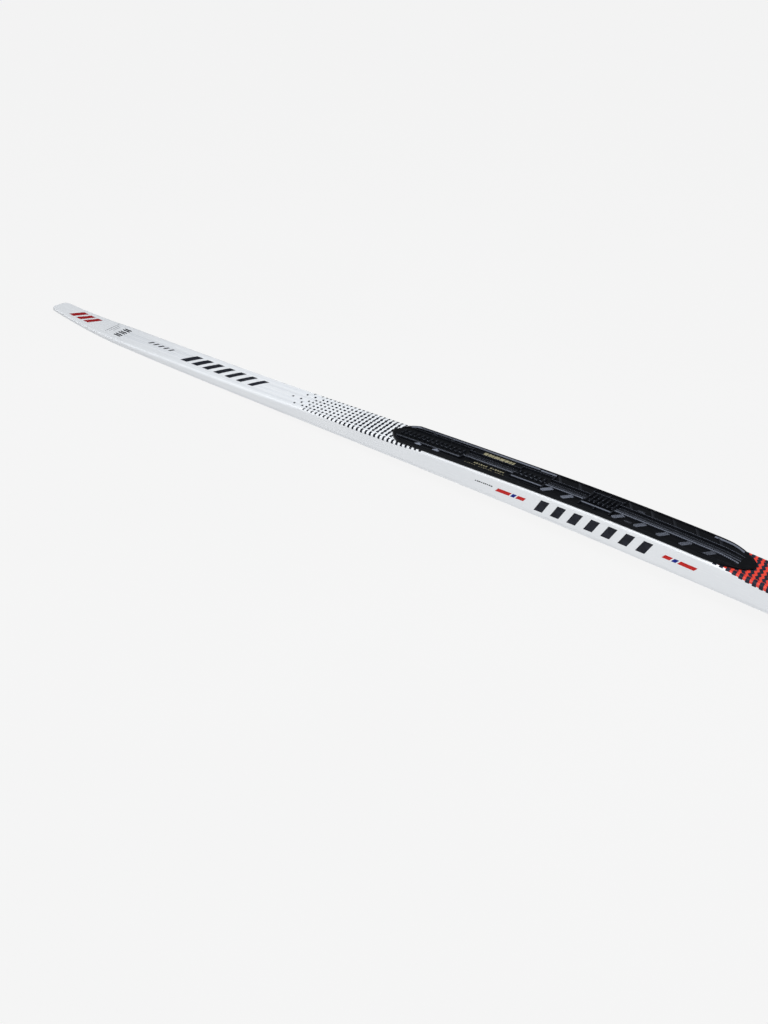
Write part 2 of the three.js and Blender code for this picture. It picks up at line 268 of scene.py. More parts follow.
# ---------------------------------------------------------------- materials
class Nodes:
    """Short ways to build a shader."""

    def __init__(self, name):
        self.material = bpy.data.materials.new(name)
        self.material.use_nodes = True
        self.tree = self.material.node_tree
        self.shader = self.tree.nodes["Principled BSDF"]
        self.position = self.tree.nodes.new("ShaderNodeTexCoord").outputs["Object"]

    def link(self, value, socket):
        if isinstance(value, bpy.types.NodeSocket):
            self.tree.links.new(value, socket)
        else:
            socket.default_value = value

    def tint(self, value, socket):
        """Sets a colour of three numbers as opaque, or links another node's colour."""
        self.link(value if isinstance(value, bpy.types.NodeSocket) else (*value, 1.0), socket)

    def make(self, kind, inputs=(), output=0, **settings):
        node = self.tree.nodes.new("ShaderNode" + kind)
        for key, value in settings.items():
            setattr(node, key, value)
        for key, value in dict(inputs).items():
            self.link(value, node.inputs[key])
        return node.outputs[output]

    def math(self, operation, a, b=0.0):
        return self.make("Math", {0: a, 1: b}, operation=operation)

    def axis(self, name):
        return self.make("SeparateXYZ", {0: self.position}, output=name)

    def stretched(self, x, y, z):
        return self.make("Mapping", {"Vector": self.position, "Scale": (x, y, z)})

    def noise(self, scale, detail=3.0, rough=0.5, vector=None):
        inputs = {"Vector": vector or self.position, "Scale": scale, "Detail": detail, "Roughness": rough}
        return self.make("TexNoise", inputs)

    def ramp(self, value, low, high, out_low=0.0, out_high=1.0, smooth=True):
        inputs = {"Value": value, "From Min": low, "From Max": high, "To Min": out_low, "To Max": out_high}
        kind = "SMOOTHSTEP" if smooth else "LINEAR"
        return self.make("MapRange", inputs, interpolation_type=kind)

    def band(self, value, middle, half, soft):
        """1 within half of middle, falling to 0 over soft."""
        away = self.math("ABSOLUTE", self.math("SUBTRACT", value, middle))
        return self.ramp(away, half, half + soft, 1.0, 0.0)

    def mix(self, factor, a, b):
        node = self.tree.nodes.new("ShaderNodeMix")
        node.data_type = "RGBA"
        self.link(factor, node.inputs["Factor"])
        self.tint(a, node.inputs["A"])
        self.tint(b, node.inputs["B"])
        return node.outputs["Result"]

    def bump(self, height, strength, distance, after=None):
        inputs = {"Height": height, "Strength": strength, "Distance": distance}
        if after is not None:
            inputs["Normal"] = after
        return self.make("Bump", inputs)

    def finish(self, colour, roughness, normal=None, **sockets):
        self.tint(colour, self.shader.inputs["Base Color"])
        self.link(roughness, self.shader.inputs["Roughness"])
        if normal is not None:
            self.link(normal, self.shader.inputs["Normal"])
        for name, value in sockets.items():
            self.shader.inputs[name.replace("_", " ")].default_value = value
        return self.material


def lacquer(name, colour, deep, shine, stripes=()):
    """Gloss lacquer over print: faint clouds, flow marks and orange peel, and long tonal stripes.

    stripes holds (from s, to s, [(y, half width), ...], strength), which darken the colour towards deep.
    """
    n = Nodes(name)
    cloud = n.noise(9.0, 4.0)
    shade = n.mix(n.ramp(cloud, 0.35, 0.65, 0.0, 0.14), colour, deep)
    x, y = n.axis("X"), n.axis("Y")
    for start, end, lines, strength in stripes:
        along = n.band(x, place((start + end) / 2, 0, 0).x, (end - start) / 2 * MM, 30 * MM)
        for line, half in lines:
            across = n.band(y, line * MM, half * MM, 0.8 * MM)
            amount = n.math("MULTIPLY", n.math("MULTIPLY", along, across), strength)
            shade = n.mix(amount, shade, deep)
    grain = n.noise(1.0, 2.0, vector=n.stretched(60, 900, 900))
    rough = n.ramp(grain, 0.3, 0.7, 0.2, 0.29, smooth=False)
    peel = n.bump(n.noise(420.0, 2.0), 0.05, 0.0002)
    flow = n.bump(n.noise(1.0, 2.0, vector=n.stretched(9, 90, 90)), 0.03, 0.0003, after=peel)
    specular = 0.12 + 0.8 * shine
    return n.finish(shade, rough, flow, Coat_Weight=shine, Coat_Roughness=0.07, Specular_IOR_Level=specular)


def ink(name, colour, deep):
    """Screen print under lacquer, with the slight mottle of a printed solid."""
    n = Nodes(name)
    shade = n.mix(n.ramp(n.noise(260.0, 3.0), 0.4, 0.62, 0.0, 0.6), colour, deep)
    rough = n.ramp(n.noise(700.0, 2.0), 0.3, 0.7, 0.3, 0.4, smooth=False)
    return n.finish(shade, rough, n.bump(n.noise(420.0, 2.0), 0.05, 0.0002), Specular_IOR_Level=0.08)


def moulded_plastic(name, colour, scuffed, rough, shine):
    """Glass-filled plastic from a textured mould, with paler scuffs."""
    n = Nodes(name)
    scuff = n.ramp(n.noise(1.0, 5.0, 0.65, vector=n.stretched(90, 500, 500)), 0.56, 0.75)
    shade = n.mix(n.math("MULTIPLY", scuff, 0.35), colour, scuffed)
    mottled = n.ramp(n.noise(160.0, 4.0), 0.3, 0.7, rough - 0.07, rough + 0.08, smooth=False)
    grain = n.bump(n.noise(2600.0, 2.0, 0.6), 0.28, 0.0001)
    # Painted bluish tint on the reflections, standing in for the bluish light that the highlights show
    n.shader.inputs["Specular Tint"].default_value = (0.72, 0.80, 1.0, 1.0)
    texture = n.bump(n.noise(140.0, 3.0), 0.06, 0.0004, after=grain)
    return n.finish(shade, mottled, texture, Specular_IOR_Level=shine)


def ground_sole(name):
    """Black sintered sole with the fine lengthwise structure that a grinding stone leaves."""
    n = Nodes(name)
    streak = n.noise(1.0, 4.0, 0.6, vector=n.stretched(8, 2600, 2600))
    shade = n.mix(n.ramp(streak, 0.35, 0.7, 0.0, 0.7), (0.012, 0.012, 0.014), (0.05, 0.05, 0.055))
    speck = n.ramp(n.noise(3200.0, 2.0), 0.68, 0.74, 0.0, 0.35)
    shade = n.mix(speck, shade, (0.16, 0.16, 0.17))
    rough = n.ramp(streak, 0.3, 0.7, 0.34, 0.5, smooth=False)
    return n.finish(shade, rough, n.bump(streak, 0.35, 0.00008))


def planed_edge(name):
    """Pale edge plastic with the long marks of the plane."""
    n = Nodes(name)
    mark = n.noise(1.0, 3.0, vector=n.stretched(20, 1500, 1800))
    shade = n.mix(n.ramp(mark, 0.3, 0.7), (0.73, 0.75, 0.775), (0.65, 0.67, 0.70))
    return n.finish(shade, n.ramp(mark, 0.3, 0.7, 0.35, 0.5, smooth=False), n.bump(mark, 0.2, 0.0001))


def woven(name, dark, light, pitch, rough):
    """Twill cloth set in resin."""
    n = Nodes(name)
    x, y = n.axis("X"), n.axis("Y")
    twill = n.math("SINE", n.math("MULTIPLY", n.math("ADD", x, y), math.pi / (pitch * MM)))
    weft = n.math("SINE", n.math("MULTIPLY", n.math("SUBTRACT", x, y), math.pi / (pitch * MM)))
    over = n.ramp(n.math("MULTIPLY", twill, weft), -0.25, 0.25)
    thread = n.noise(1.0, 2.0, vector=n.stretched(2500, 500, 500))
    shade = n.mix(n.math("MULTIPLY", over, n.ramp(thread, 0.2, 0.8, 0.6, 1.0)), dark, light)
    gloss = n.ramp(over, 0.0, 1.0, rough, rough + 0.12)
    return n.finish(shade, gloss, n.bump(over, 0.3, 0.0001), Coat_Weight=0.4)


def milled_foam(name):
    """Rigid closed-cell foam."""
    n = Nodes(name)
    cells = n.make("TexVoronoi", {"Vector": n.position, "Scale": 1500.0})
    shade = n.mix(n.ramp(cells, 0.1, 0.6), (0.70, 0.60, 0.42), (0.88, 0.80, 0.62))
    return n.finish(shade, 0.85, n.bump(cells, 0.5, 0.0003))


def cast_filler(name, colour, pale):
    """Moulded spacer or cured glue, with flow lines and small bubbles."""
    n = Nodes(name)
    flow = n.noise(1.0, 4.0, vector=n.stretched(120, 300, 300))
    bubbles = n.ramp(n.make("TexVoronoi", {"Vector": n.position, "Scale": 900.0}), 0.05, 0.14, 1.0, 0.0)
    shade = n.mix(n.ramp(flow, 0.3, 0.7), colour, pale)
    return n.finish(shade, n.ramp(flow, 0.3, 0.7, 0.5, 0.65), n.bump(bubbles, 0.2, 0.0002))


def mirrored(lines):
    return lines + [(-y, half) for y, half in reversed(lines)]


# Tonal stripes that run along the top, on both sides of the centreline
TAIL_STRIPES = mirrored([(5.8, 0.4), (2.6, 0.3)])
LONG_STRIPES = mirrored([(15.5, 0.5), (13.5, 0.3), (6.5, 0.4), (4.5, 0.2)])
white_look = lacquer(
    "white_lacquer", (0.755, 0.775, 0.80), (0.58, 0.61, 0.66), 0.2,
    [(140, 260, TAIL_STRIPES, 0.5), (345, 545, LONG_STRIPES, 0.35)],
)
red_look = lacquer(
    "red_lacquer", (0.62, 0.052, 0.034), (0.46, 0.030, 0.022), 0.05,
    [(1080, 1270, LONG_STRIPES, 0.7)],
)
black_ink = ink("black_print", (0.012, 0.013, 0.018), (0.022, 0.024, 0.034))
navy_ink = ink("navy_print", (0.016, 0.017, 0.028), (0.024, 0.026, 0.042))
dark_red_ink = ink("dark_red_print", (0.30, 0.012, 0.014), (0.24, 0.010, 0.014))
bright_red_ink = ink("red_print", (0.50, 0.022, 0.018), (0.42, 0.018, 0.018))
blue_ink = ink("blue_print", (0.012, 0.022, 0.22), (0.010, 0.018, 0.17))
white_ink = ink("white_print", (0.80, 0.81, 0.83), (0.72, 0.73, 0.76))
grey_ink = ink("grey_print", (0.13, 0.135, 0.15), (0.18, 0.19, 0.21))
gold_ink = ink("gold_print", (0.25, 0.23, 0.15), (0.15, 0.14, 0.09))
# The plate is one black plastic, given here as three copies: the tray and rim hatching keep the darkest,
# dullest copy, so they stay in painted shade beside the rails and ribs
black_plastic = moulded_plastic(
    "black_moulded_plastic", (0.0045, 0.0048, 0.0056), (0.015, 0.016, 0.018), 0.40, 0.09
)
# Painted highlight: a slightly lighter, much shinier copy of the plate's plastic, for the rails, spine, racks
# and rim lips
rail_plastic_painted_highlight = moulded_plastic("rail_plastic_painted_highlight", (0.006, 0.0066, 0.0085), (0.022, 0.024, 0.030), 0.25, 0.7)
# Painted highlight: a lighter and shinier copy again, for the ribs
rib_plastic_painted_highlight = moulded_plastic("rib_plastic_painted_highlight", (0.012, 0.013, 0.016), (0.030, 0.032, 0.038), 0.2, 1.0)
sole_look = ground_sole("sintered_sole")
edge_look = planed_edge("edge_plastic")
carbon_look = woven("carbon_laminate", (0.012, 0.012, 0.014), (0.055, 0.056, 0.062), 2.0, 0.25)
glass_look = woven("glass_laminate", (0.38, 0.43, 0.33), (0.55, 0.60, 0.50), 1.2, 0.35)


# ---------------------------------------------------------------- cap
SHOULDER_STEPS = 10
TOP_STEPS = 14
SIDE_STEPS = 5
RED_CAP_FROM = 1440.0  # from here the whole cap is red


def relief_at(s, y):
    """Shallow lengthwise hollows that are pressed into the top, away from the plate."""
    along = ease(s, 110, 200) * (1 - ease(s, 520, 575)) + ease(s, 1040, 1120) * (1 - ease(s, 1600, 1700))
    hollow = math.exp(-(((abs(y) - 9.8) / 3.4) ** 2))
    return -0.22 * along * hollow


def cap_section(s):
    """The outer surface for y >= 0, from the skirt up to the centreline, as (y, z) points."""
    w = half_width(s)
    k = w / HALF_WIDTH
    top, skirt, drop = top_at(s), skirt_at(s), shoulder_height_at(s)
    foot = top - drop
    points = [(w, skirt + (foot - skirt) * i / SIDE_STEPS) for i in range(SIDE_STEPS)]
    for i in range(SHOULDER_STEPS):
        a = math.pi / 2 * i / SHOULDER_STEPS
        points.append((w - SHOULDER_WIDTH * k * (1 - math.cos(a)), foot + drop * math.sin(a)))
    flat = w - SHOULDER_WIDTH * k
    for i in range(TOP_STEPS + 1):
        y = flat * (1 - i / TOP_STEPS)
        points.append((y, top + relief_at(s, y)))
    return points


def surface(s, v, lift=0.0):
    """The point on the cap at arc distance v from the centreline, raised by lift."""
    w = half_width(s)
    k = w / HALF_WIDTH
    flat, drop = w - SHOULDER_WIDTH * k, shoulder_height_at(s)
    turn = math.pi / 2 * (SHOULDER_WIDTH * k + drop) / 2
    side, v = (1, v) if v >= 0 else (-1, -v)
    if v <= flat:
        return place(s, side * v, top_at(s) + relief_at(s, v) + lift)
    if v <= flat + turn:
        a = math.pi / 2 * (1 - (v - flat) / turn)
        y = w - SHOULDER_WIDTH * k * (1 - math.cos(a))
        z = top_at(s) - drop * (1 - math.sin(a))
        return place(s, side * (y + lift * math.cos(a)), z + lift * math.sin(a))
    return place(s, side * (w + lift), top_at(s) - drop - (v - flat - turn))


def shoulder_end(s):
    """Arc distance at which the side begins."""
    k = half_width(s) / HALF_WIDTH
    return half_width(s) - SHOULDER_WIDTH * k + math.pi / 4 * (SHOULDER_WIDTH * k + shoulder_height_at(s))


def end_wall(shell, s, outward):
    """A thin skin that closes the cap's end, from just above the sole to the top."""
    skin = 0.06
    outer = cap_section(s)
    half = outer[0][0]
    low = sole_at(s) + BASE + GLUE
    outline = [(half, low)] + outer + [(-y, z) for y, z in outer[-2::-1]] + [(-half, low)]
    first = s - skin if outward < 0 else s
    shell.loft([[place(at, y, z) for y, z in outline] for at in (first, first + skin)])


def build_cap(name, start, end, look):
    """A length of the cap, as a closed shell with its real wall."""
    fine = [0.2, 0.6, 1.2, 2, 3, 4.2, TAIL_CORNER, 9, 12]
    fine += [LENGTH - d for d in (0.6, 1.5, 2.6, 4, 6, 8.5, 11.5, 15)]
    rings = []
    for s in stations(start, end, 8, fine):
        outer = cap_section(s)
        w = half_width(s)
        k = w / HALF_WIDTH
        inner = [
            (w - (SHOULDER_WIDTH + 0.2) * k, top_at(s) - CAP),
            (w - CAP * k, top_at(s) - max(shoulder_height_at(s), CAP + 0.2)),
            (w - CAP * k, skirt_at(s)),
        ]
        left = [(-y, z) for y, z in outer[-2::-1]]
        inside = [(-y, z) for y, z in reversed(inner)] + inner
        rings.append([place(s, y, z) for y, z in outer + left + inside])
    shell = Shell()
    shell.loft(rings)
    if start == 0:
        end_wall(shell, 0, -1)
    if end == LENGTH:
        end_wall(shell, LENGTH, 1)
    return dress(shell.piece(name, [look], 50), "top_lacquer", "top_sheet")


# ---------------------------------------------------------------- sole and edges
EDGE_FACE = 1.4  # width of the edge strip that shows beside the sole


def build_sole():
    """Sliding sole: a centre groove with rounded lips, between the edge strips."""
    lip = 0.35
    rings = []
    fine = [0.6, 1.4, 2.6, 4, TAIL_CORNER, 9, 12] + [LENGTH - d for d in (0.6, 1.5, 3, 5, 8, 12)]
    for s in stations(0, LENGTH, 12, fine):
        w = half_width(s)
        k = w / HALF_WIDTH
        z = sole_at(s)
        w -= (EDGE_FACE + 0.03) * k
        right = [
            ((GROOVE_HALF - 1 - lip) * k, z + GROOVE_DEPTH),
            ((GROOVE_HALF - 1) * k, z + GROOVE_DEPTH - 0.06),
            ((GROOVE_HALF - lip) * k, z + 0.1),
            (GROOVE_HALF * k, z),
            (w, z),
            (w, z + BASE),
        ]
        left = [(-y, h) for y, h in reversed(right)]
        rings.append([place(s, y, h) for y, h in right + left])
    shell = Shell()
    shell.loft(rings)
    return dress(shell.piece("ground_sole", [sole_look], 60), "sole_plastic", "running_base")


def build_edge(side, name, node):
    """An edge strip that reaches down beside the sole, with a small bevel at its lower corner."""
    bevel = 0.22
    rings = []
    fine = [0.2, 0.6, 1.4, 2.6, 4, TAIL_CORNER, 9, 12] + [LENGTH - d for d in (0.6, 1.5, 3, 5, 8, 12)]
    for s in stations(0, LENGTH, 12, fine):
        w = half_width(s)
        k = w / HALF_WIDTH
        z = sole_at(s)
        top = skirt_at(s) - GLUE / 2
        shelf = z + BASE + GLUE
        inner, face = w - EDGE_WIDTH * k, w - EDGE_FACE * k
        points = [
            (w - bevel, z), (w, z + bevel), (w, top),
            (inner, top), (inner, shelf), (face, shelf), (face, z),
        ]
        if side < 0:
            points = [(-y, h) for y, h in reversed(points)]
        rings.append([place(s, y, h) for y, h in points])
    shell = Shell()
    shell.loft(rings)
    return dress(shell.piece(name, [edge_look]), "edge_plastic", node)


# ---------------------------------------------------------------- prints
PRINT_LIFT = 0.04


def lay(shell, corners, index=0, lift=PRINT_LIFT, pitch=2.5):
    """Lays a four-cornered print on the cap. corners are (s, v), anticlockwise as seen from outside."""
    a, b, c, d = [Vector(p) for p in corners]
    long = max((b - a).length, (c - d).length)
    wide = max((d - a).length, (c - b).length)
    if max(abs(p.y) for p in (a, b, c, d)) > HALF_WIDTH - SHOULDER_WIDTH:
        pitch = min(pitch, 0.5)
    cells_u, cells_v = max(1, math.ceil(long / max(pitch, 1.5))), max(1, math.ceil(wide / pitch))
    points = []
    for i in range(cells_v + 1):
        for j in range(cells_u + 1):
            u, t = j / cells_u, i / cells_v
            p = (a * (1 - u) + b * u) * (1 - t) + (d * (1 - u) + c * u) * t
            points.append(surface(p.x, p.y, lift))
    row = cells_u + 1
    faces = []
    for i in range(cells_v):
        for j in range(cells_u):
            k = i * row + j
            faces.append([k, k + 1, k + row + 1, k + row])
    shell.add(points, faces, index)


def slanted(shell, s, v, length, height, slant, index=0, **more):
    """A bar whose middle is at (s, v), length along the ski and height across it, leaning by slant."""
    half, tall = length / 2, height / 2
    lean = slant * tall
    corners = [
        (s - half - lean, v - tall), (s + half - lean, v - tall),
        (s + half + lean, v + tall), (s - half + lean, v + tall),
    ]
    lay(shell, corners, index, **more)


def red_reach_at(s):
    """How far from the centreline the red print reaches: over the shoulder, then down the side."""
    across = 17.5 + 4.4 * ease(s, 962, 982) + 2.6 * ease(s, 976, 1020)
    depth = (s - 1075) / (RED_CAP_FROM - 1075)
    side = top_at(s) - skirt_at(s) - shoulder_height_at(s)
    return across + max(0, depth) * (side - 0.6) * (1 - 0.1 * ease(s, 1300, RED_CAP_FROM))


def build_red_print():
    """The red sheet that starts under the plate's nose and reaches down the sides towards the tip."""
    line = stations(963, RED_CAP_FROM, 7)
    cells = 16
    points = []
    for s in line:
        reach = red_reach_at(s)
        edge = shoulder_end(s)
        inner = edge - 4.6
        marks = [inner * (2 * i / cells - 1) for i in range(1, cells)]
        outer = [inner + (reach - inner) * i / cells for i in range(cells + 1)]
        across = [-v for v in reversed(outer)] + marks + outer
        points += [surface(s, v, PRINT_LIFT) for v in across]
    row = len(across)
    faces = []
    for i in range(len(line) - 1):
        for j in range(row - 1):
            k = i * row + j
            faces.append([k, k + row, k + row + 1, k + 1])
    shell = Shell()
    shell.add(points, faces)
    return dress(shell.piece("red_print_sheet", [red_look]), "top_lacquer")


DASH_ROWS = (-20.2, -13.6, -7.1, -0.6, 5.9, 12.4, 20.2)  # v of each row; the outer two lie on the shoulders
DASH_COLUMNS = 36
COLUMN_LEAN = -0.15
ROW_PITCH = 6.5


def dash(shell, s, v, length, width, lean, link, lift=PRINT_LIFT):
    """A leaning dash, and a thinner link that leans back from it to the next row's dash."""
    slanted(shell, s, v, width, length, lean, pitch=1.6, lift=lift)
    if link <= 0.2:
        return
    low, high = v + length / 2, v + ROW_PITCH - length / 2
    near = s + lean * length / 2
    far = s + COLUMN_LEAN * ROW_PITCH - lean * length / 2
    half = link / 2
    lay(shell, [(near - half, low), (near + half, low), (far + half, high), (far - half, high)], lift=lift)


def shoulder_tooth(shell, s, side, inner, reach, width, lift=PRINT_LIFT):
    """A dash that crosses the shoulder, from arc distance inner outwards over reach."""
    slanted(shell, s, side * (inner + reach / 2), width, reach, 0.1 * side, lift=lift)


def under_plate(s, v):
    return PLATE_FROM + 1 < s < PLATE_TO - 1 and abs(v) < plate_half_at(s) - 1.0


def build_rear_halftone():
    """Black dashes behind the plate: dots, then near-continuous columns, and teeth on the shoulders."""
    shell = Shell()
    starts = (466, 443, 440, 432, 450, 438, 444)
    pitch = 6.12
    for row, v in enumerate(DASH_ROWS):
        outer = row in (0, len(DASH_ROWS) - 1)
        side = math.copysign(1, v)
        for column in range(DASH_COLUMNS):
            s = 426.3 + pitch * column + COLUMN_LEAN * v
            sparse = s < 463 and (column + row) % 2
            if s < starts[row] or s > 632 or sparse or under_plate(s, v):
                continue
            grown = ease(s, 425, 592)
            if outer:
                reach = 4.0 + 2.3 * ease(s, 466, 560) - 1.8 * ease(s, 596, 634)
                shoulder_tooth(shell, s + 0.7, side, 17.4, reach, 2.0 + 0.9 * grown)
            else:
                dash(shell, s, v, 3.0 + 1.1 * grown, 2.5 + 0.9 * grown, -0.34, 2.3 * ease(s, 495, 575))
    return dress(shell.piece("rear_halftone", [black_ink]), "top_lacquer")


def build_front_halftone():
    """Near-black dashes in front of the plate, dense at its nose and fading out over the red."""
    shell = Shell()
    pitch = 6.5
    for row, v in enumerate(DASH_ROWS):
        outer = row in (0, len(DASH_ROWS) - 1)
        side = math.copysign(1, v)
        for column in range(DASH_COLUMNS):
            s = 960.2 + pitch * column + COLUMN_LEAN * v
            faded = ease(s, 1005, 1175)
            length, width = 3.9 - 1.8 * faded, 3.8 - 2.2 * faded
            if under_plate(s, v) or s > 1150 + 7 * ((row * 5) % 7):
                continue
            if outer:
                reach = 4.4 + 4.4 * ease(s, 962, 1010) - 5.6 * ease(s, 1050, 1170)
                shoulder_tooth(shell, s, side, 16.2, reach, width, 2 * PRINT_LIFT)
            else:
                dash(shell, s, v, length, width, -0.62, 3.1 * (1 - ease(s, 1000, 1065)), 2 * PRINT_LIFT)
    return dress(shell.piece("front_halftone", [navy_ink]), "top_lacquer")


def build_tail_marks():
    """Plain bars and ticks where the tail carries its printed marks."""
    black, dark_red, grey = range(3)
    shell = Shell()
    for i in range(3):
        slanted(shell, 41 + 14.5 * i, 0.5, 9.5, 18, 0.5, dark_red)
    for i, length in enumerate((28, 20, 13)):
        slanted(shell, 106.5 + 4.2 * i, 3.5, 0.9, length, -0.18, grey)
    for i in range(3):
        slanted(shell, 129.5 + 1.2 * i, 10.5 - 8.6 * i, 12.5, 2.6, -1.4, black)
        slanted(shell, 129.5 + 1.2 * i, 7.1 - 8.6 * i, 12.5, 2.4, -1.4, black)
    for i in range(5):
        slanted(shell, 184 + 9.4 * i, 2.2, 3.8, 6.4, 0.45, black)
    for i in range(7):
        slanted(shell, 261.5 + 19 * i, 0, 11.5 - 0.5 * i, 21, 0.36, black)
    return dress(shell.piece("tail_marks", [black_ink, dark_red_ink, grey_ink]), "top_lacquer")


def side_bars(shell, side, start, bars, v):
    """A row of slanted bars on one side of the cap. bars holds (length, colour index)."""
    height, gap = 3.9, 1.6
    s = start
    for length, index in bars:
        slanted(shell, s + length / 2, side * v, length, height, -0.85 * side, index)
        s += length + gap


def build_side_marks():
    """Ticks, plain red and blue bars and a row of plain slanted blocks on both sides, beside the plate."""
    black, red, blue = range(3)
    shell = Shell()
    for side in (-1, 1):
        for i in range(9):
            s = 705 + 2.45 * i
            slanted(shell, s, side * (shoulder_end(s) + 7.4), 1.4 + 0.4 * (i % 3), 1.2, -0.3 * side, black)
        side_bars(shell, side, 731, ((16.2, red), (4.6, blue), (9.2, red)), shoulder_end(746) + 9.0)
        side_bars(shell, side, 916, ((8.0, red), (4.6, blue), (16.8, red)), shoulder_end(930) + 9.7)
        for i in range(7):
            s = 784 + 18.7 * i
            slanted(shell, s, side * (shoulder_end(s) + 9.1), 9.6, 13.2, -0.55 * side, black)
    return dress(shell.piece("side_marks", [black_ink, bright_red_ink, blue_ink]), "top_lacquer")


def build_front_marks():
    """Marks on the red front: a slanted black panel with white chevrons, white blocks and a blank label."""
    black, white = range(2)
    shell = Shell()
    reach = red_reach_at(1310)
    slanted(shell, 1306, 0, 74, 2 * reach, 0.6, black, lift=2 * PRINT_LIFT, pitch=0.5)
    for i in range(2):
        for side in (-1, 1):
            a = 1290 + 20 * i
            b = a + 9
            corners = [(a, side * 13), (b, side * 13), (b + 14, 0), (a + 14, 0)]
            lay(shell, corners if side < 0 else corners[::-1], white, lift=3 * PRINT_LIFT)
    for i in range(6):
        slanted(shell, 1402 + 40 * i, 0, 25, 24, 0.5, white, lift=2 * PRINT_LIFT)
    slanted(shell, 1059, -20.5, 12, 13, -0.1, black, lift=2.6 * PRINT_LIFT)
    slanted(shell, 1059, -16.5, 4.5, 3.6, -0.1, white, lift=3.4 * PRINT_LIFT)
    return dress(shell.piece("front_marks", [black_ink, white_ink]), "top_lacquer")


# ---------------------------------------------------------------- binding plate
def seat_at(s):
    return top_at(s) + PLATE_LIFT


def plate_line():
    """Stations along the plate, close together at its rounded ends."""
    rear = [PLATE_FROM + d for d in (0, 0.5, 1, 2, 3.5, 5.5, 8, 11, 14, 17, 20, 22, 24)]
    front = [PLATE_TO - d for d in (44, 38, 32, 27, 22, 18, 14, 11, 8, 5.6, 3.6, 2, 0.8, 0.2, 0)]
    return stations(PLATE_FROM, PLATE_TO, 7, rear + front)


def build_plate_tray():
    """The plate's floor and rim, with rounded rim tops."""
    rings = []
    r = 0.42
    for s in plate_line():
        w = plate_half_at(s)
        wall = w - RIM_WIDTH
        seat = seat_at(s)
        rim = plate_wall_at(s, RIM_HEIGHT)
        crest = seat + rim
        floor = seat + min(SLAB, rim - 0.3)
        outer = [
            (w - 0.15, seat), (w, seat + 0.25), (w, crest - r),
            (w - 0.3 * r, crest - 0.3 * r), (w - r, crest),
        ]
        inner = [
            (wall + r, crest), (wall + 0.3 * r, crest - 0.3 * r), (wall, crest - r),
            (wall, floor + 0.5), (wall - 0.2, floor + 0.12), (wall - 0.7, floor),
        ]
        right = outer + [(y, min(z, crest)) for y, z in inner]
        left = [(-y, z) for y, z in reversed(right)]
        rings.append([place(s, y, z) for y, z in right + left])
    shell = Shell()
    shell.loft(rings)
    return dress(shell.piece("plate_tray", [black_plastic], 42), "plate_plastic", "binding_plate")


def bar_rings(line, section):
    """Rings for a loft. section gives the (y, z) points at each station."""
    return [[place(s, y, z) for y, z in section(s)] for s in line]


def add_bar(shell, inner, outer, height, start, end, inner_slope=0.4, outer_slope=0.4):
    """A straight bar on the slab, whose upper edges slope down at 30 degrees over the given widths."""
    low, high = sorted((inner, outer))
    low_slope, high_slope = (inner_slope, outer_slope) if inner < outer else (outer_slope, inner_slope)

    def section(s):
        seat = seat_at(s)
        top = seat + plate_wall_at(s, height)
        foot = seat + BAR_FOOT
        high_edge = top - 0.58 * high_slope
        low_edge = top - 0.58 * low_slope
        return [
            (high, foot), (high, high_edge - 0.1), (high - 0.05, high_edge),
            (high - high_slope, top), (low + low_slope, top),
            (low + 0.05, low_edge), (low, low_edge - 0.1), (low, foot),
        ]

    shell.loft(bar_rings(stations(start, end, 9), section))


def add_block(shell, s, y, long, across, low, high, bevel=0.25, lean=0.0):
    """A bevelled block, centred at (s, y), from low to high above the plate's underside."""
    centre = place(s, y, seat_at(s) + (low + high) / 2)
    along = Vector((long / 2 * MM, 0, 0))
    side = Vector((0, across / 2 * MM, 0))
    up = Vector((lean * MM, 0, (high - low) / 2 * MM))
    shell.block(centre, along, side, up, bevel * MM)


def build_plate_rails():
    """Rails that slope outwards and jog out around each rack. Fine teeth line the narrow ones."""
    shell = Shell()
    tooth = 1.25
    jog = RAIL_WIDE - RAIL_NARROW + RAIL_WIDTH
    for side in (1, -1):
        for i, (start, end, outer) in enumerate(RAIL_SPANS):
            add_bar(shell, side * (outer - RAIL_WIDTH), side * outer, RAIL_HEIGHT, start, end, 0.2, 1.3)
            if i:
                middle = side * (RAIL_WIDE - jog / 2)
                add_block(shell, start, middle, RAIL_WIDTH, jog, BAR_FOOT, RAIL_HEIGHT - 0.1)
            teeth = int((end - start - 2.4) / FINE_PITCH) if outer == RAIL_NARROW else 0
            for j in range(teeth):
                s = start + 1.9 + j * FINE_PITCH
                high = plate_wall_at(s, RAIL_HEIGHT)
                add_block(shell, s, side * (outer - 0.35), tooth, 0.9, high - 1.6, high - 0.35, bevel=0.3)
    return dress(shell.piece("plate_rails", [rail_plastic_painted_highlight], 35), "plate_plastic")


def build_plate_spine():
    """The raised centre strip between the racks, with two rows of fine teeth."""
    shell = Shell()
    tooth = 1.2
    for start, end, outer in RAIL_SPANS:
        if outer != RAIL_NARROW:
            continue
        add_bar(shell, -SPINE_HALF, SPINE_HALF, SPINE_HEIGHT - 0.7, start + 1.2, end)
        for row in (-1, 1):
            for j in range(int((end - start - 3) / FINE_PITCH)):
                s = start + 2.6 + j * FINE_PITCH
                high = plate_wall_at(s, SPINE_HEIGHT)
                add_block(shell, s, row * 1.7, tooth, 1.5, high - 1.0, high, bevel=0.4)
    return dress(shell.piece("plate_spine", [rail_plastic_painted_highlight], 35), "plate_plastic")


